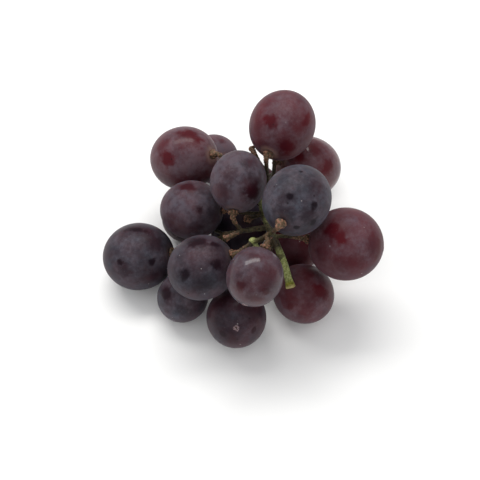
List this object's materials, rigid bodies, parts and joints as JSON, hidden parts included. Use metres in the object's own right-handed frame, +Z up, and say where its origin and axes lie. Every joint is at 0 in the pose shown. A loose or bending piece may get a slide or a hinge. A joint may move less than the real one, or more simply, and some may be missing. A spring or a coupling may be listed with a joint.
{
  "type": "bunch of grapes",
  "caption": "Bunch of large dark purple table grapes lying on its side, with round bloomy berries on a branched green stem with a cut end.",
  "frame": {"origin": "on the table under the middle of the bunch's box", "axes": "+Z up from the table, +X to the viewer's right and -Y towards the viewer in the picture"},
  "size_m": [0.1163, 0.1118, 0.0717],
  "materials": {
    "grape_skin": "dark purple grape skin under a pale waxy bloom",
    "grape_stem": "fresh green stem, olive brown stalks with warty caps"
  },
  "bodies": {
    "root": {"berry_top": "grape_skin", "berry_upper_left": "grape_skin", "berry_back_left": "grape_skin", "berry_upper_middle": "grape_skin", "berry_middle_left": "grape_skin", "berry_far_left": "grape_skin", "berry_front_left": "grape_skin", "berry_front": "grape_skin", "berry_lower_left": "grape_skin", "berry_lower_middle": "grape_skin", "berry_lower_right": "grape_skin", "berry_right": "grape_skin", "berry_upper_right": "grape_skin", "berry_back_right": "grape_skin", "berry_under_middle": "grape_skin", "berry_under_right": "grape_skin", "berry_under_far_back": "grape_skin", "berry_under_left": "grape_skin", "berry_under_back": "grape_skin", "stem": "grape_stem"}
  },
  "joints": []
}
